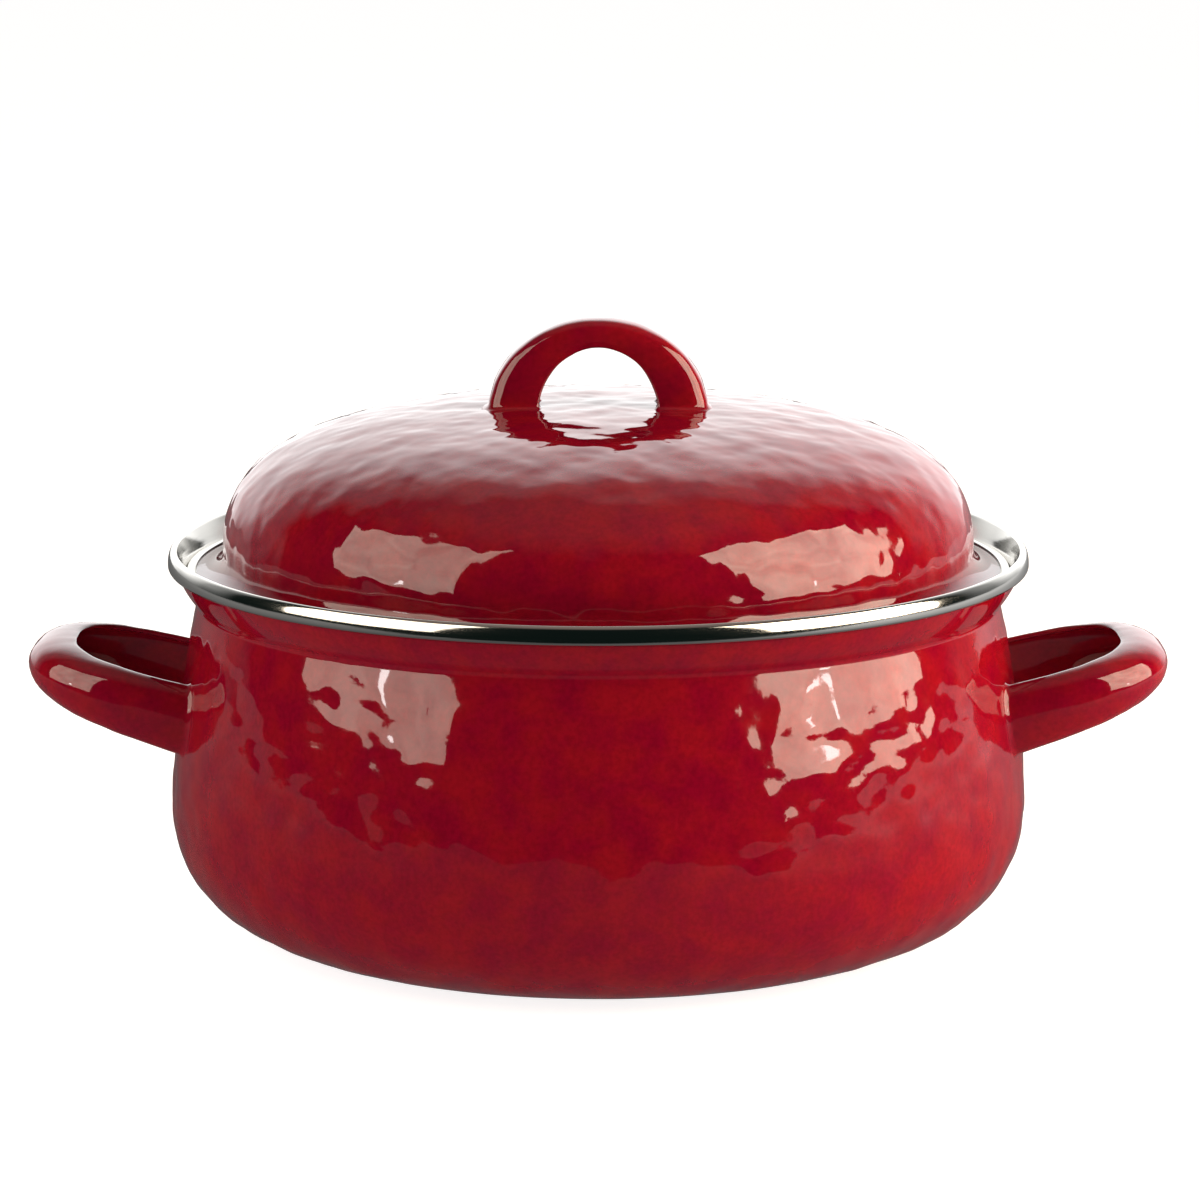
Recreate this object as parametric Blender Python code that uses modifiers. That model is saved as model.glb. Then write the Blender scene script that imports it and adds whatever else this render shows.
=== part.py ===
"""Low, wide casserole in enamelled pressed steel, with a domed lid. Metres, +Z up.

The origin is the centre of the base, on the table. The side handles lie along X, and the loop on the
lid spans X, so the front is -Y. Every turned piece is a profile of (radius, height) points turned
about Z, and the three handles are one kind of pressed channel, bent into a loop and welded on.
"""

import math

import bmesh
import bpy

# Overall sizes
RIM_RADIUS = 0.1338  # the outer face of the steel where the steel band starts
RIM_HEIGHT = 0.1160  # the height of that same line

# Pot body
POT_WALL = 0.0014
FLARE_WIDTH = 0.0064  # how far the rim stands out from the neck
FLARE_HEIGHT = 0.0107
FLARE_BOW = 0.0007
NECK_FILLET = 0.0030
BELLY_BULGE = 0.0089  # how far the belly stands out from the neck
BELLY_HEIGHT = 0.0423
WALL_CURVE = 1.52  # 1 is a straight wall from the belly to the neck
BASE_INSET = 0.0491  # how far the flat base stays inside the belly
BASE_FULLNESS = 2.36  # 2 is an elliptical curve from the base to the belly
FOOT_WIDTH = 0.0150
BASE_RECESS = 0.0008
RIM_LIP = 0.0026  # the steel that runs on inside the band

# Steel bands and fits
BAND_SHEET = 0.0004
GAP = 0.0003  # between any two pieces that touch
BEAD_OVERHANG = 0.0026  # how far the band stands out from the rim
BEAD_HEIGHT = 0.0060
BEAD_SHOULDER = 0.0008
BEAD_CROWN_WIDTH = 0.0019  # the bead's outer top corner is a quarter of an ellipse
BEAD_CROWN_HEIGHT = 0.0044
BEAD_INNER_ROUND = 0.0012
BAND_INNER_DEPTH = 0.0101  # how far the band runs down inside the rim
TRIM_LEG = 0.0030

# Lid
LID_WALL = 0.0012
LID_DROP = 0.0062  # from the top of the pot's band down to the top of the lid's trim
FLANGE_WIDTH = 0.0113
FLANGE_FILLET = 0.0060
DOME_HEIGHT = 0.0513
DOME_SIDE = 2.87  # higher values make the side of the dome steeper
DOME_TOP = 3.03  # higher values make the top of the dome flatter

# Side handles
HANDLE_WALL = 0.0014
HANDLE_REACH = 0.0556
HANDLE_HALF_SPAN = 0.0396
HANDLE_ROOT_DEPTH = 0.0064
HANDLE_TIP_DEPTH = 0.0131
HANDLE_ROOT_WIDTH = 0.0220
HANDLE_TIP_WIDTH = 0.0187
HANDLE_DROP = 0.0448  # from the rim line down to the middle of the handle's root
HANDLE_SLOPE = math.radians(16.5)
HANDLE_OUTLINE = 2.85  # higher values make the loop squarer
HANDLE_TAIL = 0.0120  # the length that is cut to the pot's wall
HANDLE_ROOT_SECTION = 2.45  # higher values make the channel squarer
HANDLE_TIP_SECTION = 1.9

# Lid handle
LOOP_WALL = 0.0013
LOOP_HEIGHT = 0.0300
LOOP_HALF_SPAN = 0.0348
LOOP_SINK = 0.0024  # from the top of the dome down to the middle of the loop's ellipse
LOOP_CROWN_DEPTH = 0.0087
LOOP_ROOT_DEPTH = 0.0158
LOOP_CROWN_WIDTH = 0.0150
LOOP_ROOT_WIDTH = 0.0185
LOOP_TAIL = 0.0050  # the length that is cut to the dome
LOOP_OUTLINE = 2.0  # an ellipse
LOOP_SECTION = 4.4

# How finely the curves are cut
TURN_STEPS = 48
FLARE_STEPS = 4
WALL_STEPS = 5
BASE_STEPS = 8
DOME_STEPS = 11
DOME_CROWDING = 1.25  # higher values put more of the dome's steps near its side
TRIM_STEPS = 6
CORNER_STEPS = 4
CROWN_STEPS = 4
LOOP_STEPS = 22
SECTION_STEPS = 10
MERGE = 1e-5
CORNER_SHARE = 0.95  # how much of its shorter side a rounded corner may take


def round_corner(before, corner, after, radius):
    """The arc of this radius that replaces a corner, or a smaller one where the sides are short."""
    ways, lengths = [], []
    for end in (before, after):
        way = (end[0] - corner[0], end[1] - corner[1])
        length = math.hypot(*way)
        ways.append((way[0] / length, way[1] / length))
        lengths.append(length)
    between = math.acos(max(-1, min(1, ways[0][0] * ways[1][0] + ways[0][1] * ways[1][1])))
    cut = min(radius / math.tan(between / 2), CORNER_SHARE * min(lengths))
    radius = cut * math.tan(between / 2)
    middle = (ways[0][0] + ways[1][0], ways[0][1] + ways[1][1])
    reach = radius / math.sin(between / 2) / math.hypot(*middle)
    centre = (corner[0] + middle[0] * reach, corner[1] + middle[1] * reach)
    ends = [(corner[0] + way[0] * cut - centre[0], corner[1] + way[1] * cut - centre[1]) for way in ways]
    first, last = (math.atan2(y, x) for x, y in ends)
    turn = (last - first + math.pi) % (2 * math.pi) - math.pi
    angles = [first + turn * i / CORNER_STEPS for i in range(CORNER_STEPS + 1)]
    return [(centre[0] + radius * math.cos(a), centre[1] + radius * math.sin(a)) for a in angles]


def rounded(corners):
    """An outline from (radius, height, corner radius) points, with the corners as arcs."""
    outline = []
    for i, (x, z, radius) in enumerate(corners):
        if radius:
            outline += round_corner(corners[i - 1][:2], (x, z), corners[i + 1][:2], radius)
        else:
            outline.append((x, z))
    return outline


def bowed(start, end, bow, steps):
    """An arc from start to end that stands out from the straight line by bow, to its right."""
    along = (end[0] - start[0], end[1] - start[1])
    length = math.hypot(*along)
    side = (along[1] / length, -along[0] / length)
    radius = (length**2 / 4 + bow**2) / (2 * bow)
    points = []
    for i in range(steps + 1):
        share = i / steps
        out = math.sqrt(radius**2 - (length * (share - 0.5)) ** 2) - (radius - bow)
        points.append(tuple(start[k] + along[k] * share + side[k] * out for k in (0, 1)))
    return points


def power(value, exponent):
    return math.copysign(abs(value) ** exponent, value)


def link(obj, collection, parent=None):
    collection.objects.link(obj)
    obj.parent = parent
    return obj


def turned(name, profile, collection, parent=None):
    """A surface of revolution. The profile runs down its outer side."""
    mesh = bpy.data.meshes.new(name)
    edges = [(i, i + 1) for i in range(len(profile) - 1)]
    mesh.from_pydata([(x, 0, z) for x, z in profile], edges, [])
    obj = link(bpy.data.objects.new(name, mesh), collection, parent)
    screw = obj.modifiers.new("turn", "SCREW")
    screw.steps = screw.render_steps = TURN_STEPS
    screw.use_merge_vertices = True
    screw.merge_threshold = MERGE
    return obj


def thicken(obj, wall):
    """Gives a surface its wall, on the side away from its normals."""
    solidify = obj.modifiers.new("wall", "SOLIDIFY")
    solidify.thickness = wall
    solidify.offset = -1
    solidify.use_even_offset = True


def cut_with(obj, cutter):
    boolean = obj.modifiers.new("fit", "BOOLEAN")
    boolean.operation = "DIFFERENCE"
    boolean.object = cutter


def cutter_of(name, profile, collection):
    """The whole solid inside a turned profile, swollen by the gap."""
    cutter = turned(name, profile, collection)
    swell = cutter.modifiers.new("gap", "DISPLACE")
    swell.mid_level = 0
    swell.strength = GAP
    cutter.hide_render = True
    cutter.display_type = "WIRE"
    return cutter


def finish(obj, colour, roughness, metallic=0.0):
    """Gives the object its own material and smooth shading."""
    material = bpy.data.materials.new(obj.name + "_finish")
    material.use_nodes = True
    shader = material.node_tree.nodes["Principled BSDF"]
    shader.inputs["Base Color"].default_value = (*colour, 1)
    shader.inputs["Roughness"].default_value = roughness
    shader.inputs["Metallic"].default_value = metallic
    obj.data.materials.append(material)
    for modifier in obj.modifiers:
        if modifier.type == "SCREW":
            modifier.use_smooth_shade = True
    if obj.data.polygons:
        obj.data.shade_smooth()


# Profiles

neck = (RIM_RADIUS - FLARE_WIDTH, RIM_HEIGHT - FLARE_HEIGHT)
belly_radius = neck[0] + BELLY_BULGE
base_radius = belly_radius - BASE_INSET


def wall_radius(height):
    """The outer radius of the pot between the belly and the neck."""
    share = (height - BELLY_HEIGHT) / (neck[1] - BELLY_HEIGHT)
    return belly_radius - BELLY_BULGE * max(share, 0) ** WALL_CURVE


def pot_outline():
    """The pot's outer face from the end of the rim down to the middle of the base."""
    flare = bowed(neck, (RIM_RADIUS, RIM_HEIGHT), FLARE_BOW, FLARE_STEPS)
    lean = lip_lean()
    lip = (RIM_RADIUS + RIM_LIP * math.sin(lean), RIM_HEIGHT + RIM_LIP * math.cos(lean))
    heights = [neck[1] + (BELLY_HEIGHT - neck[1]) * i / WALL_STEPS for i in range(WALL_STEPS + 1)]
    wall = [(wall_radius(height), height) for height in heights]
    corner = round_corner(flare[1], neck, wall[1], NECK_FILLET)
    curve = []
    for i in range(1, BASE_STEPS + 1):
        angle = math.pi / 2 * (1 - i / BASE_STEPS)
        out = power(math.sin(angle), 2 / BASE_FULLNESS)
        up = 1 - power(math.cos(angle), 2 / BASE_FULLNESS)
        curve.append((base_radius + BASE_INSET * out, BELLY_HEIGHT * up))
    inside_foot = base_radius - FOOT_WIDTH
    base = [(inside_foot, 0), (inside_foot - 2 * BASE_RECESS, BASE_RECESS), (0, BASE_RECESS)]
    return [lip] + flare[:0:-1] + corner + wall[1:] + curve + base


def lip_lean():
    """The angle between the upright and the flare where the band starts."""
    last, end = bowed(neck, (RIM_RADIUS, RIM_HEIGHT), FLARE_BOW, 2 * FLARE_STEPS)[-2:]
    return math.atan2(end[0] - last[0], end[1] - last[1])


def inside_flare(inset):
    """The flare's line moved towards the pot's axis, from the neck to the rim line."""
    line = bowed(neck, (RIM_RADIUS, RIM_HEIGHT), FLARE_BOW, FLARE_STEPS)
    moved = []
    for i, point in enumerate(line):
        before, after = line[max(i - 1, 0)], line[min(i + 1, len(line) - 1)]
        along = (after[0] - before[0], after[1] - before[1])
        length = math.hypot(*along)
        moved.append((point[0] - inset * along[1] / length, point[1] + inset * along[0] / length))
    return moved


def radius_at(line, height):
    for low, high in zip(line, line[1:]):
        if low[1] <= height <= high[1]:
            return low[0] + (high[0] - low[0]) * (height - low[1]) / (high[1] - low[1])
    return line[-1][0] + (height - line[-1][1]) * math.tan(lip_lean())


band_inside = inside_flare(POT_WALL + GAP + BAND_SHEET)
crown_height = RIM_HEIGHT + BEAD_HEIGHT


def band_outline():
    """From the foot of the band's inner leg, over the bead, to the foot of its outer leg."""
    lean = lip_lean()
    away = GAP + BAND_SHEET
    leg_foot = crown_height - BAND_INNER_DEPTH
    leg = [(radius_at(band_inside, leg_foot), leg_foot, 0)]
    leg += [(x, z, 0) for x, z in band_inside if z > leg_foot + away]
    bead_radius = RIM_RADIUS + BEAD_OVERHANG
    outer_foot = (RIM_RADIUS + away * math.cos(lean), RIM_HEIGHT - away * math.sin(lean))
    bead = [(radius_at(band_inside, crown_height), crown_height, BEAD_INNER_ROUND)]
    for i in range(CROWN_STEPS + 1):
        angle = math.pi / 2 * (1 - i / CROWN_STEPS)
        x = bead_radius - BEAD_CROWN_WIDTH * (1 - math.cos(angle))
        z = crown_height - BEAD_CROWN_HEIGHT * (1 - math.sin(angle))
        bead.append((x, z, 0))
    shoulder = (bead_radius, outer_foot[1] + BEAD_SHOULDER, BEAD_SHOULDER)
    return rounded(leg + bead + [shoulder, (*outer_foot, 0)])


# The lid's trim is a folded strip with a round outer edge, which rests in the flare.
trim_round = LID_WALL / 2 + GAP + BAND_SHEET
lid_middle = crown_height - LID_DROP - trim_round  # the middle of the flange's thickness
lid_edge = radius_at(band_inside, lid_middle) - (trim_round + GAP) / math.cos(lip_lean())
lid_radius = lid_edge + trim_round
dome_radius = lid_radius - FLANGE_WIDTH
dome_foot = lid_middle + LID_WALL / 2
dome_top = dome_foot + DOME_HEIGHT


def dome_outline():
    """The dome's outer face, from the axis down to the flange."""
    outline = []
    for i in range(DOME_STEPS + 1):
        angle = math.pi / 2 * (1 - i / DOME_STEPS) ** DOME_CROWDING
        out = power(math.cos(angle), 2 / DOME_SIDE)
        up = power(math.sin(angle), 2 / DOME_TOP)
        outline.append((dome_radius * out if i else 0, dome_foot + DOME_HEIGHT * up))
    return outline


def lid_outline():
    dome = dome_outline()
    edge = (lid_edge, dome_foot)
    return dome[:-1] + round_corner(dome[-2], dome[-1], edge, FLANGE_FILLET) + [edge]


def trim_outline():
    inner = lid_radius - TRIM_LEG
    outline = [(inner, lid_middle + trim_round)]
    for i in range(TRIM_STEPS + 1):
        angle = math.pi * (0.5 - i / TRIM_STEPS)
        out, up = trim_round * math.cos(angle), trim_round * math.sin(angle)
        outline.append((lid_edge + out, lid_middle + up))
    return outline + [(inner, lid_middle - trim_round)]


# Handles


def channel(depth, width, squareness):
    """Half a superellipse as (out, across) points: a channel, open towards the inside of its loop."""
    section = []
    for i in range(SECTION_STEPS + 1):
        angle = math.pi * (0.5 - i / SECTION_STEPS)
        out = power(math.cos(angle), 2 / squareness) if 0 < i < SECTION_STEPS else 0
        section.append((depth * out, width / 2 * power(math.sin(angle), 2 / squareness)))
    return section


def loop_surface(name, reach, half_span, depths, widths, outline, sections, tail, collection, parent):
    """A channel bent into a loop in its local XY plane, with its feet on X = 0 and tails below them.

    depths, widths and sections are (root, crown) pairs. outline is the exponent of the loop's
    superellipse, and sections are those of its channel.
    """
    stations = [(-tail, -half_span, -tail, -half_span + depths[0], 0.0)]
    for i in range(LOOP_STEPS + 1):
        angle = math.pi * (i / LOOP_STEPS - 0.5)
        out = power(math.cos(angle), 2 / outline) if 0 < i < LOOP_STEPS else 0
        over = power(math.sin(angle), 2 / outline)
        outer = (reach * out, half_span * over)
        inner = ((reach - depths[1]) * out, (half_span - depths[0]) * over)
        stations.append((*outer, *inner, out))
    stations.append((-tail, half_span, -tail, half_span - depths[0], 0.0))
    mesh = bmesh.new()
    rings = []
    for outer_x, outer_y, inner_x, inner_y, share in stations:
        depth = math.hypot(outer_x - inner_x, outer_y - inner_y)
        way = ((outer_x - inner_x) / depth, (outer_y - inner_y) / depth)
        width = widths[0] + (widths[1] - widths[0]) * share
        section = channel(depth, width, sections[0] + (sections[1] - sections[0]) * share)
        points = [(inner_x + way[0] * out, inner_y + way[1] * out, z) for out, z in section]
        rings.append([mesh.verts.new(point) for point in points])
    for ring, following in zip(rings, rings[1:]):
        for i in range(SECTION_STEPS):
            mesh.faces.new((ring[i], ring[i + 1], following[i + 1], following[i]))
    data = bpy.data.meshes.new(name)
    mesh.normal_update()
    mesh.to_mesh(data)
    mesh.free()
    return link(bpy.data.objects.new(name, data), collection, parent)


# The object

for old in list(bpy.data.objects):
    bpy.data.objects.remove(old)
parts = bpy.data.collections.new("casserole")
cutters = bpy.data.collections.new("cutters")
for group in (parts, cutters):
    bpy.context.scene.collection.children.link(group)

pot = link(bpy.data.objects.new("pot", None), parts)
lid = link(bpy.data.objects.new("lid", None), parts)

pot_body = turned("pot_body", pot_outline(), parts, pot)
thicken(pot_body, POT_WALL)
finish(pot_body, (0.42, 0.012, 0.02), 0.12)

pot_rim_band = turned("pot_rim_band", band_outline(), parts, pot)
thicken(pot_rim_band, BAND_SHEET)
finish(pot_rim_band, (0.72, 0.72, 0.70), 0.12, 1.0)

lid_body = turned("lid_body", lid_outline(), parts, lid)
thicken(lid_body, LID_WALL)
finish(lid_body, (0.42, 0.012, 0.02), 0.12)

lid_rim_band = turned("lid_rim_band", trim_outline(), parts, lid)
thicken(lid_rim_band, BAND_SHEET)
finish(lid_rim_band, (0.72, 0.72, 0.70), 0.12, 1.0)

pot_cutter = cutter_of("pot_cutter", [(0, RIM_HEIGHT + RIM_LIP)] + pot_outline(), cutters)
root_height = RIM_HEIGHT - HANDLE_DROP
root_x = math.sqrt(wall_radius(root_height) ** 2 - HANDLE_HALF_SPAN**2)
for name, turn in (("handle_right", 0), ("handle_left", math.pi)):
    handle = loop_surface(
        name,
        HANDLE_REACH,
        HANDLE_HALF_SPAN,
        (HANDLE_ROOT_DEPTH, HANDLE_TIP_DEPTH),
        (HANDLE_ROOT_WIDTH, HANDLE_TIP_WIDTH),
        HANDLE_OUTLINE,
        (HANDLE_ROOT_SECTION, HANDLE_TIP_SECTION),
        HANDLE_TAIL,
        parts,
        pot,
    )
    handle.location = (root_x * math.cos(turn), 0, root_height)
    handle.rotation_euler = (0, -HANDLE_SLOPE, turn)
    thicken(handle, HANDLE_WALL)
    cut_with(handle, pot_cutter)
    finish(handle, (0.42, 0.012, 0.02), 0.12)

lid_cutter = cutter_of("lid_cutter", dome_outline() + [(0, dome_foot)], cutters)
lid_handle = loop_surface(
    "lid_handle",
    LOOP_HEIGHT,
    LOOP_HALF_SPAN,
    (LOOP_ROOT_DEPTH, LOOP_CROWN_DEPTH),
    (LOOP_ROOT_WIDTH, LOOP_CROWN_WIDTH),
    LOOP_OUTLINE,
    (LOOP_SECTION, LOOP_SECTION),
    LOOP_TAIL,
    parts,
    lid,
)
lid_handle.location = (0, 0, dome_top - LOOP_SINK)
lid_handle.rotation_euler = (math.pi / 2, -math.pi / 2, 0)
thicken(lid_handle, LOOP_WALL)
cut_with(lid_handle, lid_cutter)
finish(lid_handle, (0.42, 0.012, 0.02), 0.12)
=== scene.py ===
import math

import bpy
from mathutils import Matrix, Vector, noise


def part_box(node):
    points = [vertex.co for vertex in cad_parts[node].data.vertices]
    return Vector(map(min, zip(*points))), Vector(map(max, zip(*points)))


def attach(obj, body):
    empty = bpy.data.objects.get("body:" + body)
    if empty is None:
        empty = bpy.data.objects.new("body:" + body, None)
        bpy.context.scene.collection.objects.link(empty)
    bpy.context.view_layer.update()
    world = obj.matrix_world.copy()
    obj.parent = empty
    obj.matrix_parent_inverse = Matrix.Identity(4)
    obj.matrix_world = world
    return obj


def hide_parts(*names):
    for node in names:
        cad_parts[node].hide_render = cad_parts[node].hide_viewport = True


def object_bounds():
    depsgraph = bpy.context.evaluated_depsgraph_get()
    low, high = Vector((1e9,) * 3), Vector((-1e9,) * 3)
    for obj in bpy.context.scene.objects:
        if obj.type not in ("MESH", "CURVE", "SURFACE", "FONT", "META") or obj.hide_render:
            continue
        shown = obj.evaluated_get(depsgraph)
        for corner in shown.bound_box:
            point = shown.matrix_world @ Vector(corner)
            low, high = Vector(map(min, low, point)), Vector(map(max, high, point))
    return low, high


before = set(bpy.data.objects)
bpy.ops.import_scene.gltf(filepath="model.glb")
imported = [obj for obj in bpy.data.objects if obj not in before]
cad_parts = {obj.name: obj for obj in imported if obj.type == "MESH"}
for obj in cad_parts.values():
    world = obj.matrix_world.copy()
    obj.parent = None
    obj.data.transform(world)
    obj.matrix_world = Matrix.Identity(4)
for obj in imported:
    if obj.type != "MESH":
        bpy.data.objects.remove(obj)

cad_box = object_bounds()

# ---------------------------------------------------------------------------------------------------
# Pot body. One deep-drawn steel pressing with a flared rim, dipped in glass enamel and fired: red
# outside and white inside. The enamel flows over a lightly hammered surface, which makes every
# reflection ragged. It stands on the flat ring of its base.

POT_WALL = 0.0014
FLARE_WIDTH = 0.0064
FLARE_HEIGHT = 0.0107
FLARE_BOW = 0.0007
NECK_FILLET = 0.0030
BELLY_HEIGHT = 0.0423
WALL_CURVE = 1.52
BASE_INSET = 0.0491
BASE_FULLNESS = 2.36
FOOT_WIDTH = 0.0150
BASE_RECESS = 0.0008
FOOT_SLOPE = ((0, 0), (0.0004, 0.0001), (0.0012, 0.0007), (0.0018, 0.0008))  # in and up from the foot
FLOOR_CORNER = 0.0042  # the lining's flat floor ends this far inside the foot's outer edge
RIM_LIP = 0.0026
BEAD_HEIGHT = 0.0060
BEAD_OVERHANG = 0.0026
SMOOTH_NECK = 0.010  # the hammering fades out over this height below the neck
SMOOTH_FOOT = (0.0016, 0.0064)  # and between these heights above the foot
HAMMER_MARKS = ((0.0160, 0.00040), (0.0085, 0.00026), (0.0045, 0.00011))  # the size and depth of each
CORNER_SHARE = 0.95  # how much of its shorter side a rounded corner may take
TURN_STEPS = 520
HAMMER_STEP = 0.0017  # the mesh is this fine where it is hammered
PLAIN_STEP = 0.0050
ARC_STEPS = 12
WALL_STEPS = 40
BASE_STEPS = 48

crown_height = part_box("pot_rim_band")[1].z
rim_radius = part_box("pot_rim_band")[1].x - BEAD_OVERHANG
rim_height = crown_height - BEAD_HEIGHT
belly_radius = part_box("pot_body")[1].x
base_radius = belly_radius - BASE_INSET
neck = (rim_radius - FLARE_WIDTH, rim_height - FLARE_HEIGHT)


def linear(colour, alpha=1.0):
    """An sRGB hex colour as the linear values that a shader takes."""
    values = [int(colour[i : i + 2], 16) / 255 for i in (1, 3, 5)]
    values = [v / 12.92 if v <= 0.04045 else ((v + 0.055) / 1.055) ** 2.4 for v in values]
    return (*values, alpha)


def node(tree, kind, inputs=None, **settings):
    """Adds a shader node. An input is a value, or the output socket that it is linked to."""
    made = tree.nodes.new("ShaderNode" + kind)
    for name, value in settings.items():
        setattr(made, name, value)
    for name, value in (inputs or {}).items():
        if isinstance(value, bpy.types.NodeSocket):
            tree.links.new(value, made.inputs[name])
        else:
            made.inputs[name].default_value = value
    return made


def power(value, exponent):
    return math.copysign(abs(value) ** exponent, value)


def smooth(value, low, high):
    """Runs from 0 at low to 1 at high with soft ends."""
    share = max(0.0, min(1.0, (value - low) / (high - low)))
    return share * share * (3 - 2 * share)


def hammered(place):
    """The height of the hammered surface at a place."""
    return sum(depth * noise.noise(place / size) for size, depth in HAMMER_MARKS)


def bowed(start, end, bow, steps):
    """An arc from start to end that stands out from the straight line by bow, to its right."""
    along = (end[0] - start[0], end[1] - start[1])
    length = math.hypot(*along)
    side = (along[1] / length, -along[0] / length)
    radius = (length**2 / 4 + bow**2) / (2 * bow)
    points = []
    for i in range(steps + 1):
        share = i / steps
        out = math.sqrt(radius**2 - (length * (share - 0.5)) ** 2) - (radius - bow)
        points.append(tuple(start[k] + along[k] * share + side[k] * out for k in (0, 1)))
    return points


def round_corner(before, corner, after, radius, steps=6):
    """The arc of this radius that replaces a corner."""
    ways, lengths = [], []
    for end in (before, after):
        way = (end[0] - corner[0], end[1] - corner[1])
        length = math.hypot(*way)
        ways.append((way[0] / length, way[1] / length))
        lengths.append(length)
    between = math.acos(max(-1, min(1, ways[0][0] * ways[1][0] + ways[0][1] * ways[1][1])))
    cut = min(radius / math.tan(between / 2), CORNER_SHARE * min(lengths))
    radius = cut * math.tan(between / 2)
    middle = (ways[0][0] + ways[1][0], ways[0][1] + ways[1][1])
    reach = radius / math.sin(between / 2) / math.hypot(*middle)
    centre = (corner[0] + middle[0] * reach, corner[1] + middle[1] * reach)
    ends = [(corner[0] + way[0] * cut - centre[0], corner[1] + way[1] * cut - centre[1]) for way in ways]
    first, last = (math.atan2(y, x) for x, y in ends)
    turn = (last - first + math.pi) % (2 * math.pi) - math.pi
    angles = [first + turn * i / steps for i in range(steps + 1)]
    return [(centre[0] + radius * math.cos(a), centre[1] + radius * math.sin(a)) for a in angles]


def offset(line, distance):
    """A line of points moved to its right, with its corners kept."""
    moved = []
    for i, point in enumerate(line):
        sides = []
        for a, b in ((i - 1, i), (i, i + 1)):
            if 0 <= a and b < len(line):
                along = (line[b][0] - line[a][0], line[b][1] - line[a][1])
                length = math.hypot(*along)
                sides.append((along[1] / length, -along[0] / length))
        side = [sum(s[k] for s in sides) / len(sides) for k in (0, 1)]
        size = distance / (side[0] ** 2 + side[1] ** 2)
        moved.append((point[0] + side[0] * size, point[1] + side[1] * size))
    return moved


def spaced(line, step):
    """The same line with extra points, so that no two are further apart than step."""
    points = [line[0]]
    for start, end in zip(line, line[1:]):
        count = max(1, math.ceil(math.dist(start, end) / step))
        for i in range(1, count + 1):
            points.append(tuple(start[k] + (end[k] - start[k]) * i / count for k in (0, 1)))
    return points


def turned(name, outline, lining, steps, relief, closed=False):
    """A piece turned about the upright axis.

    outline runs down the outer side. lining says for each point whether it is on the inside, where the
    second material goes. relief gives the height of the surface at a place.
    """
    count = len(outline)
    rings, places = [], []
    for i, (radius, height) in enumerate(outline):
        if closed:
            before, after = outline[i - 1], outline[(i + 1) % count]
        else:
            before, after = outline[max(i - 1, 0)], outline[min(i + 1, count - 1)]
        along = (after[0] - before[0], after[1] - before[1])
        length = math.hypot(*along)
        facing = (-along[1] / length, along[0] / length)
        side = -1 if lining[i] else 1
        ring = []
        for k in range(steps if radius > 0 else 1):
            angle = 2 * math.pi * k / steps
            way = (math.cos(angle), math.sin(angle))
            place = Vector((radius * way[0], radius * way[1], height))
            out = side * relief(place)
            ring.append(len(places))
            places.append(place + out * Vector((facing[0] * way[0], facing[0] * way[1], facing[1])))
        rings.append(ring)
    faces, inside = [], []
    for i in range(count if closed else count - 1):
        upper, lower = rings[i], rings[(i + 1) % count]
        for k in range(steps):
            corners = [upper[k % len(upper)], lower[k % len(lower)]]
            corners += [lower[(k + 1) % len(lower)], upper[(k + 1) % len(upper)]]
            faces.append(list(dict.fromkeys(corners)))
            inside.append(1 if lining[i] else 0)
    mesh = bpy.data.meshes.new(name)
    mesh.from_pydata(places, [], faces)
    mesh.polygons.foreach_set("material_index", inside)
    mesh.shade_smooth()
    piece = bpy.data.objects.new(name, mesh)
    bpy.context.scene.collection.objects.link(piece)
    return piece


def flat(place):
    return 0.0


def wall_radius(height):
    """The outer radius of the pot at a height up to the neck."""
    if height < BELLY_HEIGHT:
        down = 1 - max(height, 0) / BELLY_HEIGHT
        out = math.sqrt(1 - down**BASE_FULLNESS)
        return base_radius + BASE_INSET * out ** (2 / BASE_FULLNESS)
    share = (height - BELLY_HEIGHT) / (neck[1] - BELLY_HEIGHT)
    return belly_radius - (belly_radius - neck[0]) * share**WALL_CURVE


def pot_relief(place):
    fade = smooth(place.z, neck[1], neck[1] - SMOOTH_NECK) * smooth(place.z, *SMOOTH_FOOT)
    return fade * hammered(place)


flare = bowed(neck, (rim_radius, rim_height), FLARE_BOW, ARC_STEPS)
lean = math.atan2(flare[-1][0] - flare[-2][0], flare[-1][1] - flare[-2][1])
lip = (rim_radius + RIM_LIP * math.sin(lean), rim_height + RIM_LIP * math.cos(lean))
heights = [neck[1] + (BELLY_HEIGHT - neck[1]) * i / WALL_STEPS for i in range(WALL_STEPS + 1)]
wall = [(wall_radius(height), height) for height in heights]
curve = []
for i in range(1, BASE_STEPS + 1):
    angle = math.pi / 2 * (1 - i / BASE_STEPS)
    out, up = power(math.sin(angle), 2 / BASE_FULLNESS), 1 - power(math.cos(angle), 2 / BASE_FULLNESS)
    curve.append((base_radius + BASE_INSET * out, BELLY_HEIGHT * up))
side = [lip] + flare[:0:-1] + round_corner(flare[1], neck, wall[1], NECK_FILLET) + wall[1:] + curve
inside_foot = base_radius - FOOT_WIDTH
base = [(inside_foot - inward, up) for inward, up in FOOT_SLOPE] + [(0, BASE_RECESS)]
lining_line = offset(side, POT_WALL)
floor_height = BASE_RECESS + POT_WALL
lining_line = [point for point in lining_line if point[1] > floor_height]
lining_line += [(base_radius - FLOOR_CORNER, floor_height), (0, floor_height)]
lining_line = spaced(lining_line, PLAIN_STEP)[::-1]
outside = spaced(side, HAMMER_STEP) + spaced(base, PLAIN_STEP)
lined = [1] * len(lining_line) + [0] * len(outside)
pot = turned("pot_shell", lining_line + outside, lined, TURN_STEPS, pot_relief)

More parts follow.
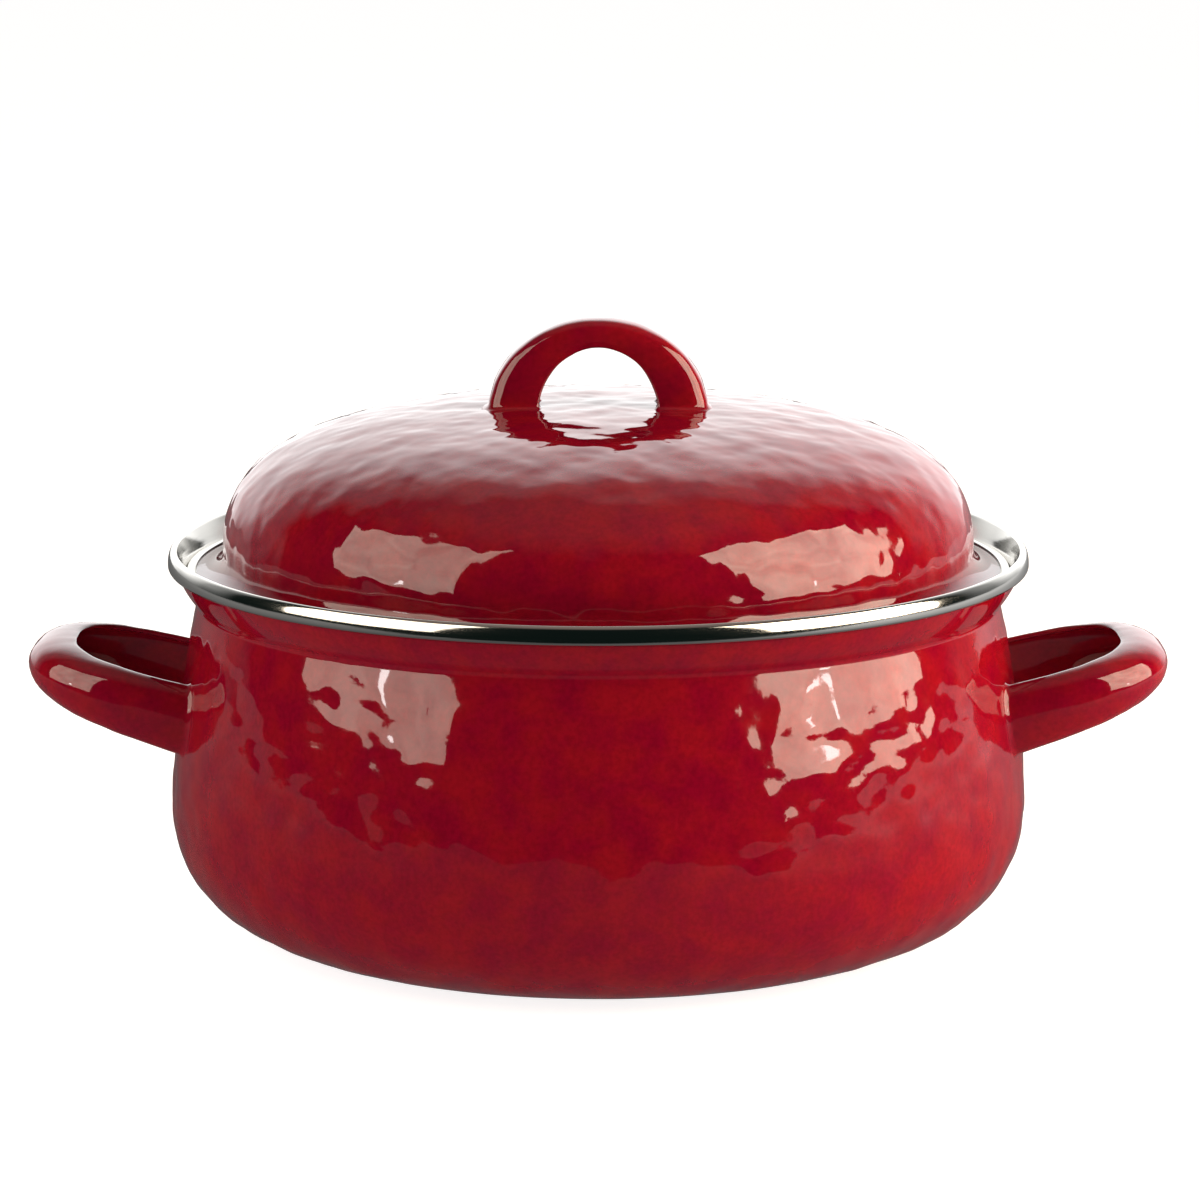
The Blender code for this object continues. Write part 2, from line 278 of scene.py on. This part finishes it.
# Vitreous enamel: glass fused on steel, so it is smooth, wet-looking and a little uneven in colour.
ENAMEL_IOR = 1.52
RED_DEEP = "#640319"
RED_BRIGHT = "#6f0814"
RED_GLOSS = (0.030, 0.065)  # the roughness varies between these
CLOUD = 0.011  # the size of the patches where the red runs thicker or thinner
CLOUD_EDGES = (0.35, 0.65)
GRAIN = 0.0016
GRAIN_EDGES = (0.3, 0.7)
GRAIN_SHADE = (0.86, 1.12)
PEEL = 0.0026  # the size of the ripples that a fired glaze keeps
PEEL_DEPTH = 0.00005
LINING_PEEL_DEPTH = 0.00008
PEEL_STRENGTH = 0.25
WORN_HEIGHT = 0.0012  # the foot ring is rubbed dull up to here
WORN_COLOUR = "#4a4040"
WORN_ROUGHNESS = 0.4
LINING_WHITE = "#dfe5ea"
LINING_ROUGHNESS = 0.06
SPECK = 0.0011
SPECK_EDGES = (0.70, 0.74)
SPECK_COLOUR = "#7f8488"


def remap(tree, value, source=(0.0, 1.0), target=(0.0, 1.0)):
    """A value moved from one range to another and held inside it."""
    ends = {"From Min": source[0], "From Max": source[1], "To Min": target[0], "To Max": target[1]}
    return node(tree, "MapRange", {"Value": value, **ends}).outputs["Result"]


def noise_of(tree, place, scale, detail):
    return node(tree, "TexNoise", {"Vector": place, "Scale": scale, "Detail": detail}).outputs["Fac"]


def mixed(tree, share, first, second):
    return node(tree, "MixRGB", {"Fac": share, "Color1": first, "Color2": second}).outputs["Color"]


def new_material(name):
    made = bpy.data.materials.new(name)
    made.use_nodes = True
    return made, made.node_tree, made.node_tree.nodes["Principled BSDF"]


def ripple(tree, shader, height, strength, depth):
    """Bumps a surface by a height."""
    bump = node(tree, "Bump", {"Height": height, "Strength": strength, "Distance": depth})
    tree.links.new(bump.outputs["Normal"], shader.inputs["Normal"])


red_enamel, tree, shader = new_material("red_vitreous_enamel")
shader.inputs["IOR"].default_value = ENAMEL_IOR
coords = node(tree, "TexCoord").outputs["Object"]
cloud = noise_of(tree, coords, 1 / CLOUD, 2.0)
colour = mixed(tree, remap(tree, cloud, CLOUD_EDGES), linear(RED_DEEP), linear(RED_BRIGHT))
speck = noise_of(tree, coords, 1 / GRAIN, 2.0)
grained = node(tree, "VectorMath", {0: colour}, operation="SCALE")
tree.links.new(remap(tree, speck, GRAIN_EDGES, GRAIN_SHADE), grained.inputs["Scale"])
ripple(tree, shader, noise_of(tree, coords, 1 / PEEL, 1.0), PEEL_STRENGTH, PEEL_DEPTH)
rubbed = remap(tree, node(tree, "SeparateXYZ", {"Vector": coords}).outputs["Z"], (WORN_HEIGHT, 0.0))
wear = node(tree, "Math", {0: rubbed, 1: speck}, operation="MULTIPLY").outputs[0]
worn = mixed(tree, wear, grained.outputs["Vector"], linear(WORN_COLOUR))
tree.links.new(worn, shader.inputs["Base Color"])
dull = node(tree, "Math", {0: wear, 1: WORN_ROUGHNESS}, operation="MULTIPLY").outputs[0]
gloss = remap(tree, cloud, target=RED_GLOSS)
rough = node(tree, "Math", {0: gloss, 1: dull}, operation="ADD").outputs[0]
tree.links.new(rough, shader.inputs["Roughness"])

white_enamel, tree, shader = new_material("white_vitreous_enamel")
shader.inputs["IOR"].default_value = ENAMEL_IOR
shader.inputs["Roughness"].default_value = LINING_ROUGHNESS
coords = node(tree, "TexCoord").outputs["Object"]
spotted = remap(tree, noise_of(tree, coords, 1 / SPECK, 0.0), SPECK_EDGES)
colour = mixed(tree, spotted, linear(LINING_WHITE), linear(SPECK_COLOUR))
tree.links.new(colour, shader.inputs["Base Color"])
ripple(tree, shader, noise_of(tree, coords, 1 / PEEL, 1.0), PEEL_STRENGTH, LINING_PEEL_DEPTH)

pot.data.materials.append(red_enamel)
pot.data.materials.append(white_enamel)
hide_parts("pot_body")
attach(pot, "pot")

# ---------------------------------------------------------------------------------------------------
# Rim band. A strip of polished stainless steel, rolled round the bare edge of the enamelled rim into a
# hollow bead. Nothing else holds it. It mirrors the room in long thin lines.

BAND_SHEET = 0.0004
GAP = 0.0003
BEAD_SHOULDER = 0.0008
BEAD_CROWN_WIDTH = 0.0019
BEAD_CROWN_HEIGHT = 0.0044
BEAD_INNER_ROUND = 0.0012
BAND_INNER_DEPTH = 0.0101
BAND_STEPS = 300

band_inside = offset(flare, -(POT_WALL + GAP + BAND_SHEET))


def radius_at(line, height):
    for low, high in zip(line, line[1:]):
        if low[1] <= height <= high[1]:
            return low[0] + (high[0] - low[0]) * (height - low[1]) / (high[1] - low[1])
    return line[-1][0] + (height - line[-1][1]) * math.tan(lean)


leg_foot = crown_height - BAND_INNER_DEPTH
leg = [(radius_at(band_inside, leg_foot), leg_foot)]
leg += [point for point in band_inside if point[1] > leg_foot + BAND_SHEET]
bead_radius = rim_radius + BEAD_OVERHANG
away = GAP + BAND_SHEET
outer_foot = (rim_radius + away * math.cos(lean), rim_height - away * math.sin(lean))
crown = []
for i in range(ARC_STEPS + 1):
    angle = math.pi / 2 * (1 - i / ARC_STEPS)
    x = bead_radius - BEAD_CROWN_WIDTH * (1 - math.cos(angle))
    crown.append((x, crown_height - BEAD_CROWN_HEIGHT * (1 - math.sin(angle))))
inner_top = (radius_at(band_inside, crown_height), crown_height)
shoulder = (bead_radius, outer_foot[1] + BEAD_SHOULDER)
skin = leg + round_corner(leg[-1], inner_top, crown[0], BEAD_INNER_ROUND) + crown
skin += round_corner(crown[-1], shoulder, outer_foot, BEAD_SHOULDER) + [outer_foot]
skin_outline = skin + offset(skin, BAND_SHEET)[::-1]
band = turned("rim_band", skin_outline, [0] * len(skin_outline), BAND_STEPS, flat, closed=True)

# Stainless steel, polished round and round, which leaves fine lines that run with the band.
STEEL = "#cfcdc8"
STEEL_ROUGHNESS = (0.04, 0.15)
SCRATCH = 0.0002  # the lines are this far apart
SCRATCH_TURN = 0.25  # and change along the band about once in this angle, in radians
SCRATCH_DEPTH = 0.00002
SCRATCH_STRENGTH = 0.2

stainless, tree, shader = new_material("polished_stainless_steel")
shader.inputs["Metallic"].default_value = 1.0
shader.inputs["Base Color"].default_value = linear(STEEL)
place = node(tree, "TexCoord").outputs["Object"]
axes = node(tree, "SeparateXYZ", {"Vector": place})
turn = node(tree, "Math", {0: axes.outputs["Y"], 1: axes.outputs["X"]}, operation="ARCTAN2").outputs[0]
flat_place = node(tree, "VectorMath", {0: place, 1: (1, 1, 0)}, operation="MULTIPLY").outputs["Vector"]
out = node(tree, "VectorMath", {0: flat_place}, operation="LENGTH").outputs["Value"]
spun = node(tree, "CombineXYZ", {"X": turn, "Y": out, "Z": axes.outputs["Z"]}).outputs["Vector"]
per_axis = (1 / SCRATCH_TURN, 1 / SCRATCH, 1 / SCRATCH)
stretched = node(tree, "VectorMath", {0: spun, 1: per_axis}, operation="MULTIPLY").outputs["Vector"]
lines = noise_of(tree, stretched, 1.0, 2.0)
tree.links.new(remap(tree, lines, target=STEEL_ROUGHNESS), shader.inputs["Roughness"])
ripple(tree, shader, lines, SCRATCH_STRENGTH, SCRATCH_DEPTH)

band.data.materials.append(stainless)
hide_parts("pot_rim_band")
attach(band, "pot")

# ---------------------------------------------------------------------------------------------------
# Side handles. Each is a steel channel pressed and bent into a loop, open towards the inside of the
# loop. It is spot-welded to the pot before enamelling, and the enamel fills the corner round its feet.

HANDLE_WALL = 0.0014
HANDLE_REACH = 0.0556
HANDLE_HALF_SPAN = 0.0396
HANDLE_DEPTHS = (0.0064, 0.0131)  # at the root and at the tip
HANDLE_WIDTHS = (0.0220, 0.0187)
HANDLE_SECTIONS = (2.45, 1.9)
HANDLE_DROP = 0.0448
HANDLE_SLOPE = math.radians(16.5)
HANDLE_OUTLINE = 2.85
HANDLE_CLEAR = 0.012  # the bend's own rings start this far out, beyond the fillets of its feet
FOOT_FILLET = 0.0022
FILLET_RINGS = (0, 0.06, 0.2, 0.42, 0.7, 1.0, 1.4)  # how far out each ring of a foot is, in fillets
SINK = 0.0003  # how far a welded foot runs into the enamel
FOOT_SEARCH = 0.012  # a foot meets the surface within this distance of x = 0
HALVINGS = 24
BEND_STEPS = 84
LIP_STEPS = 4
FINER_MARKS = 1.4  # the marks on a handle are this much finer than those on the pot
SHALLOWER_MARKS = 0.5


def channel(depth, width, wall, squareness, steps=20):
    """The closed outline of a pressed channel, as (out, across) points from one lip over the outside."""
    skins = []
    for far, half in ((depth, width / 2), (depth - wall, width / 2 - wall)):
        skin = []
        for i in range(1, steps):
            angle = math.pi * (0.5 - i / steps)
            out = far * power(math.cos(angle), 2 / squareness)
            if out > wall / 2:
                skin.append((out, half * power(math.sin(angle), 2 / squareness)))
        skins.append(skin)
    lip = []
    for i in range(LIP_STEPS + 1):
        angle = math.pi * i / LIP_STEPS
        lip.append((wall / 2 - wall / 2 * math.sin(angle), width / 2 - wall / 2 + wall / 2 * math.cos(angle)))
    lower = [(out, -across) for out, across in lip]
    return skins[0] + lower + skins[1][::-1] + lip[::-1]


def facings(outline):
    """The outward direction at each point of a closed outline."""
    ways = []
    for i in range(len(outline)):
        before, after = outline[i - 1], outline[(i + 1) % len(outline)]
        along = (after[0] - before[0], after[1] - before[1])
        length = math.hypot(*along)
        ways.append((-along[1] / length, along[0] / length))
    return ways


def welded_loop(name, reach, half_span, depths, widths, outline, sections, wall, clear, to_world, outside):
    """A channel bent into a loop. Its feet are at x = 0 in its own frame and end on the surface below."""
    bend = 1 / outline

    def place_on(x, out_share, side):
        near = (half_span - depths[0]) * (1 - min(1, abs(x / (reach - depths[1]))) ** outline) ** bend
        far = half_span * (1 - min(1, abs(x / reach)) ** outline) ** bend
        return side * (near + (far - near) * out_share)

    rings = []
    section = channel(depths[0], widths[0], wall, sections[0])
    ways = facings(section)
    distances = [FOOT_FILLET * share for share in FILLET_RINGS]

    def foot(side, distance):
        gap = max(0, FOOT_FILLET - distance)
        swell = FOOT_FILLET - math.sqrt(FOOT_FILLET**2 - gap**2)
        ring = []
        for (out, across), way in zip(section, ways):
            low, high = -FOOT_SEARCH, FOOT_SEARCH
            for _ in range(HALVINGS):
                x = (low + high) / 2
                y = place_on(x, out / depths[0], side) + side * way[0] * swell
                if outside(to_world(Vector((x, y, across + way[1] * swell)))) > 0:
                    high = x
                else:
                    low = x
            x += distance
            y = place_on(x, out / depths[0], side) + side * way[0] * swell
            ring.append(to_world(Vector((x, y, across + way[1] * swell))))
        return ring

    rings += [foot(-1, distance) for distance in distances]
    for i in range(BEND_STEPS + 1):
        angle = math.pi * (i / BEND_STEPS - 0.5)
        out, over = power(math.cos(angle), 2 / outline), power(math.sin(angle), 2 / outline)
        if reach * out < clear:
            continue
        outer = Vector((reach * out, half_span * over, 0))
        inner = Vector(((reach - depths[1]) * out, (half_span - depths[0]) * over, 0))
        depth = (outer - inner).length
        way = (outer - inner) / depth
        width = widths[0] + (widths[1] - widths[0]) * out
        bent = channel(depth, width, wall, sections[0] + (sections[1] - sections[0]) * out)
        ring = []
        for (out_by, across), facing in zip(bent, ways):
            place = inner + way * out_by + Vector((0, 0, across))
            facing_way = way * facing[0] + Vector((0, 0, facing[1]))
            place += facing_way * hammered(place * FINER_MARKS) * SHALLOWER_MARKS
            ring.append(to_world(place))
        rings.append(ring)
    rings += [foot(1, distance) for distance in reversed(distances)]
    places = [place for ring in rings for place in ring]
    size = len(section)
    faces = []
    for i in range(len(rings) - 1):
        for k in range(size):
            following = (k + 1) % size
            faces.append((i * size + k, (i + 1) * size + k, (i + 1) * size + following, i * size + following))
    faces.append(tuple(range(size)))
    faces.append(tuple(range((len(rings) - 1) * size, len(rings) * size))[::-1])
    mesh = bpy.data.meshes.new(name)
    mesh.from_pydata(places, [], faces)
    mesh.shade_smooth()
    piece = bpy.data.objects.new(name, mesh)
    bpy.context.scene.collection.objects.link(piece)
    return piece


def outside_pot(place):
    return math.hypot(place.x, place.y) - wall_radius(place.z) + SINK


root_height = rim_height - HANDLE_DROP
root_x = math.sqrt(wall_radius(root_height) ** 2 - HANDLE_HALF_SPAN**2)
for name, turn in (("handle_right", 1), ("handle_left", -1)):

    def on_pot(place, turn=turn):
        x = root_x + place.x * math.cos(HANDLE_SLOPE) - place.z * math.sin(HANDLE_SLOPE)
        z = root_height + place.x * math.sin(HANDLE_SLOPE) + place.z * math.cos(HANDLE_SLOPE)
        return Vector((turn * x, turn * place.y, z))

    handle = welded_loop(
        name.replace("handle", "loop"),
        HANDLE_REACH,
        HANDLE_HALF_SPAN,
        HANDLE_DEPTHS,
        HANDLE_WIDTHS,
        HANDLE_OUTLINE,
        HANDLE_SECTIONS,
        HANDLE_WALL,
        HANDLE_CLEAR,
        on_pot,
        outside_pot,
    )
    handle.data.materials.append(red_enamel)
    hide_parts(name)
    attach(handle, "pot")

# ---------------------------------------------------------------------------------------------------
# Lid body. A domed steel pressing with a flat flange that lies in the flare of the rim. It has the
# pot's enamel, red and hammered outside and white inside.

LID_WALL = 0.0012
FLANGE_WIDTH = 0.0113
FLANGE_FILLET = 0.0060
DOME_SIDE = 2.87
DOME_TOP = 3.03
DOME_STEPS = 90
DOME_CROWDING = 1.25  # packs the steps closer towards the dome's foot
SMOOTH_FLANGE = (0.001, 0.010)  # the hammering fades in between these heights above the flange
MARKS_SHIFT = Vector((0.5, 0.2, 0.3))  # keeps the lid's marks unlike the pot's

lid_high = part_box("lid_body")[1]
trim_low, trim_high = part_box("lid_rim_band")
lid_radius = trim_high.x
trim_round = (trim_high.z - trim_low.z) / 2
lid_middle = (trim_high.z + trim_low.z) / 2
lid_edge = lid_radius - trim_round
dome_radius = lid_radius - FLANGE_WIDTH
dome_foot = lid_middle + LID_WALL / 2
dome_height = lid_high.z - dome_foot


def dome_top_at(radius):
    across = min(1, radius / dome_radius) ** (DOME_SIDE / 2)
    return dome_foot + dome_height * math.sqrt(max(0, 1 - across**2)) ** (2 / DOME_TOP)


def lid_relief(place):
    low, high = SMOOTH_FLANGE
    return smooth(place.z, dome_foot + low, dome_foot + high) * hammered(place + MARKS_SHIFT)


dome = []
for i in range(DOME_STEPS + 1):
    angle = math.pi / 2 * (1 - i / DOME_STEPS) ** DOME_CROWDING
    out, up = power(math.cos(angle), 2 / DOME_SIDE), power(math.sin(angle), 2 / DOME_TOP)
    dome.append((dome_radius * out if i else 0, dome_foot + dome_height * up))
edge = (lid_edge, dome_foot)
above = [point for point in dome if point[1] > dome_foot + 1.5 * FLANGE_FILLET]
lid_top = above + round_corner(above[-1], dome[-1], edge, FLANGE_FILLET, ARC_STEPS) + [edge]
lid_inside = offset(lid_top[1:], LID_WALL)
lid_inside = [(0, lid_inside[0][1])] + [point for point in lid_inside if point[0] > LID_WALL]
lid_inside = spaced(lid_inside, PLAIN_STEP)[::-1]
lid_outside = spaced(lid_top, HAMMER_STEP)
lined = [0] * len(lid_outside) + [1] * len(lid_inside)
lid = turned("lid_shell", lid_outside + lid_inside, lined, TURN_STEPS, lid_relief)
lid.data.materials.append(red_enamel)
lid.data.materials.append(white_enamel)
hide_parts("lid_body")
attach(lid, "lid")

# ---------------------------------------------------------------------------------------------------
# Lid trim. A narrow strip of the same stainless steel, folded round the edge of the flange.

TRIM_LEG = 0.0030

inner = lid_radius - TRIM_LEG
fold = [(inner, lid_middle + trim_round)]
for i in range(ARC_STEPS + 1):
    angle = math.pi * (0.5 - i / ARC_STEPS)
    fold.append((lid_edge + trim_round * math.cos(angle), lid_middle + trim_round * math.sin(angle)))
fold.append((inner, lid_middle - trim_round))
trim_outline = fold + offset(fold, BAND_SHEET)[::-1]
trim = turned("lid_trim", trim_outline, [0] * len(trim_outline), BAND_STEPS, flat, closed=True)
trim.data.materials.append(stainless)
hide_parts("lid_rim_band")
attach(trim, "lid")

# ---------------------------------------------------------------------------------------------------
# Lid handle. A pressed channel bent into an upright half ring, welded to the dome and enamelled with it.

LOOP_WALL = 0.0013
LOOP_HALF_SPAN = 0.0348
LOOP_SINK = 0.0024
LOOP_DEPTHS = (0.0158, 0.0087)
LOOP_WIDTHS = (0.0185, 0.0150)
LOOP_OUTLINE = 2.0
LOOP_SECTIONS = (4.4, 4.4)
LOOP_CLEAR = 0.009

loop_base = lid_high.z - LOOP_SINK
loop_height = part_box("lid_handle")[1].z - loop_base


def on_lid(place):
    return Vector((place.y, place.z, loop_base + place.x))


def above_dome(place):
    return place.z - dome_top_at(math.hypot(place.x, place.y)) + SINK


lid_handle = welded_loop(
    "lid_loop",
    loop_height,
    LOOP_HALF_SPAN,
    LOOP_DEPTHS,
    LOOP_WIDTHS,
    LOOP_OUTLINE,
    LOOP_SECTIONS,
    LOOP_WALL,
    LOOP_CLEAR,
    on_lid,
    above_dome,
)
lid_handle.data.materials.append(red_enamel)
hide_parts("lid_handle")
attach(lid_handle, "lid")

# ---------------------------------------------------------------------------------------------------
# Studio. A pale floor, a white backdrop, a dark room behind the camera and two soft boxes at its sides.

bpy.context.scene.view_settings.view_transform = "Standard"

FLOOR_SIZE = 30.0
FLOOR_GREY = "#b4b4b2"
FLOOR_GLOW = 0.86
BELOW = 0.0002  # the floor lies this far under the pot, and the table as far under the floor
PAPER_ROUGHNESS = 0.9


def plane(name, low, high, colour):
    mesh = bpy.data.meshes.new(name)
    places = [(low[0], low[1], 0), (high[0], low[1], 0), (high[0], high[1], 0), (low[0], high[1], 0)]
    mesh.from_pydata(places, [], [(0, 1, 2, 3)])
    piece = bpy.data.objects.new(name, mesh)
    bpy.context.scene.collection.objects.link(piece)
    paint, tree, shader = new_material(name + "_paint")
    shader.inputs["Base Color"].default_value = linear(colour)
    shader.inputs["Roughness"].default_value = PAPER_ROUGHNESS
    shader.inputs["Specular IOR Level"].default_value = 0.0
    mesh.materials.append(paint)
    return piece, tree, shader


half_floor = FLOOR_SIZE / 2
floor, tree, shader = plane("floor", (-half_floor, -half_floor), (half_floor, half_floor), FLOOR_GREY)
floor.location.z = cad_box[0].z - BELOW
floor.visible_glossy = False
shader.inputs["Emission Color"].default_value = linear("#ffffff")
shader.inputs["Emission Strength"].default_value = FLOOR_GLOW
from_below = node(tree, "NewGeometry").outputs["Backfacing"]
clear = node(tree, "BsdfTransparent").outputs["BSDF"]
paper = node(tree, "MixShader", {"Fac": from_below})
tree.links.new(shader.outputs["BSDF"], paper.inputs[1])
tree.links.new(clear, paper.inputs[2])
tree.links.new(paper.outputs["Shader"], tree.nodes["Material Output"].inputs["Surface"])

# What the glaze mirrors in front of it is a table top, which grows lighter towards the right.
TABLE_LOW = (-2.0, -0.55)  # the mirror image of the table ends this far in front of the pot
TABLE_HIGH = (2.0, 2.0)
TABLE_RAMP = (-1.0, 1.0)
TABLE_LIGHT = ((0.0, 0.25), (0.45, 0.10), (0.60, 0.16), (1.0, 0.75))  # place across it, and radiance
table, tree, shader = plane("table", TABLE_LOW, TABLE_HIGH, "#000000")
table.location.z = floor.location.z - BELOW
for unseen in ("visible_camera", "visible_diffuse", "visible_shadow", "visible_transmission"):
    setattr(table, unseen, False)


def ramp_of(tree, value, stops):
    """A grey ramp through (place, level) stops."""
    ramp = node(tree, "ValToRGB", {"Fac": value})
    elements = ramp.color_ramp.elements
    while len(elements) < len(stops):
        elements.new(0.5)
    for element, (place, level) in zip(elements, stops):
        element.position = place
        element.color = (level, level, level, 1)
    return ramp.outputs["Color"]


across = node(tree, "SeparateXYZ", {"Vector": node(tree, "TexCoord").outputs["Object"]}).outputs["X"]
tree.links.new(ramp_of(tree, remap(tree, across, TABLE_RAMP), TABLE_LIGHT), shader.inputs["Emission Color"])
shader.inputs["Emission Strength"].default_value = 1.0

LIGHT_DISTANCE = 1.25
BULB_DISTANCE = 1.2
BULB_SIZE = (0.06, 0.06)
BULB_RADIANCE = 14.0
BULB_COLOUR = "#ffffff"
FILL_SIZE = (1.0, 1.0)
FILL_ELEVATION = 2
FOLDS = 0.25  # how much the cloth of a soft box varies in brightness
FOLD_SCALE = 4.0
FOLD_EDGES = (0.3, 0.7)
LIGHTS_AIM = Vector((0, 0, 0.1))


def toward(azimuth, elevation, distance, centre):
    """A place seen from centre: azimuth 0 is towards the camera, and positive to the right."""
    a, e = math.radians(azimuth), math.radians(elevation)
    way = Vector((math.sin(a) * math.cos(e), -math.cos(a) * math.cos(e), math.sin(e)))
    return centre + way * distance


def softbox(name, azimuth, elevation, distance, size, radiance, colour, folds=0.0):
    """A lamp behind cloth. folds is how uneven the cloth is."""
    light = bpy.data.lights.new(name, "AREA")
    light.shape = "RECTANGLE"
    light.size, light.size_y = size
    light.energy = radiance * math.pi * size[0] * size[1]
    light.color = linear(colour)[:3]
    light.use_nodes = True
    tree = light.node_tree
    cloth = noise_of(tree, node(tree, "NewGeometry").outputs["Parametric"], FOLD_SCALE, 3.0)
    level = remap(tree, cloth, FOLD_EDGES, (1 - folds, 1 + folds))
    tree.links.new(level, tree.nodes["Emission"].inputs["Strength"])
    lamp = bpy.data.objects.new(name, light)
    lamp.location = toward(azimuth, elevation, distance, LIGHTS_AIM)
    lamp.rotation_euler = (lamp.location - LIGHTS_AIM).to_track_quat("Z", "Y").to_euler()
    lamp.visible_camera = False
    bpy.context.scene.collection.objects.link(lamp)
    return lamp


softbox("left_softbox", -63, 25, LIGHT_DISTANCE, (1.08, 1.0), 3.9, "#fff2de", FOLDS)
softbox("right_softbox", 69, 23, LIGHT_DISTANCE, (1.28, 1.05), 7.5, "#ffeed6", FOLDS)
softbox("left_bulb", -58, 7, BULB_DISTANCE, BULB_SIZE, BULB_RADIANCE, BULB_COLOUR)
softbox("right_bulb", 62, 6, BULB_DISTANCE, BULB_SIZE, BULB_RADIANCE, BULB_COLOUR)
# Two soft lights that nothing mirrors: a cool one from the left and a warm one from the right.
for name, azimuth, radiance, colour in (
    ("cool_fill", -95, 3.0, "#ffb4c4"),
    ("warm_fill", 98, 15.0, "#ffb87c"),
):
    fill = softbox(name, azimuth, FILL_ELEVATION, LIGHT_DISTANCE, FILL_SIZE, radiance, colour)
    fill.visible_glossy = False

# The world is what the glaze and the steel mirror all round: white behind the pot, dark walls in front,
# and a dim ceiling. The white is dimmer near the horizon, except right behind the pot.
SKY_LIGHT = ((0.36, 0.0), (0.50, 0.15), (0.61, 0.22), (0.70, 0.55), (0.78, 0.8), (0.88, 1.0))
SKY_RADIANCE = 1.9
SIDE_RAMP = (-0.6, 0.8)
SIDE_HORIZON = (0.26, 0.40)
BEHIND_RAMP = (0.82, 0.94)
BEHIND_HORIZON = 0.9
HORIZON_RAMP = (-0.05, 0.18)
CEILING_RAMP = (0.70, 0.95)
WALLS = "#101a18"
CEILING = "#90807a"
BACKDROP = "#ffffff"

world = bpy.data.worlds.new("studio")
bpy.context.scene.world = world
world.use_nodes = True
tree = world.node_tree
way = node(tree, "SeparateXYZ", {"Vector": node(tree, "TexCoord").outputs["Generated"]})
side = remap(tree, way.outputs["X"], SIDE_RAMP, SIDE_HORIZON)
foot = remap(tree, way.outputs["Y"], BEHIND_RAMP, (side, BEHIND_HORIZON))
rise = remap(tree, way.outputs["Z"], HORIZON_RAMP, (foot, 1.0))
sky = ramp_of(tree, way.outputs["Y"], SKY_LIGHT)
screen = node(tree, "Math", {0: sky, 1: rise}, operation="MULTIPLY").outputs[0]
walls = mixed(tree, remap(tree, way.outputs["Z"], CEILING_RAMP), linear(WALLS), linear(CEILING))
room = mixed(tree, screen, walls, (SKY_RADIANCE, SKY_RADIANCE, SKY_RADIANCE, 1))
seen = node(tree, "LightPath").outputs["Is Camera Ray"]
tree.links.new(mixed(tree, seen, room, linear(BACKDROP)), tree.nodes["Background"].inputs["Color"])

CAMERA_ELEVATION = 11.08
CAMERA_DISTANCE = 1.485
CAMERA_AIM = Vector((0, 0, 0.1034))

camera = bpy.data.objects.new("camera", bpy.data.cameras.new("camera"))
bpy.context.scene.collection.objects.link(camera)
camera.location = toward(0, CAMERA_ELEVATION, CAMERA_DISTANCE, CAMERA_AIM)
camera.rotation_euler = (camera.location - CAMERA_AIM).to_track_quat("Z", "Y").to_euler()
camera.data.lens = 139.8
camera.data.sensor_width = 36
camera.data.shift_x = 0.0014
bpy.context.scene.camera = camera
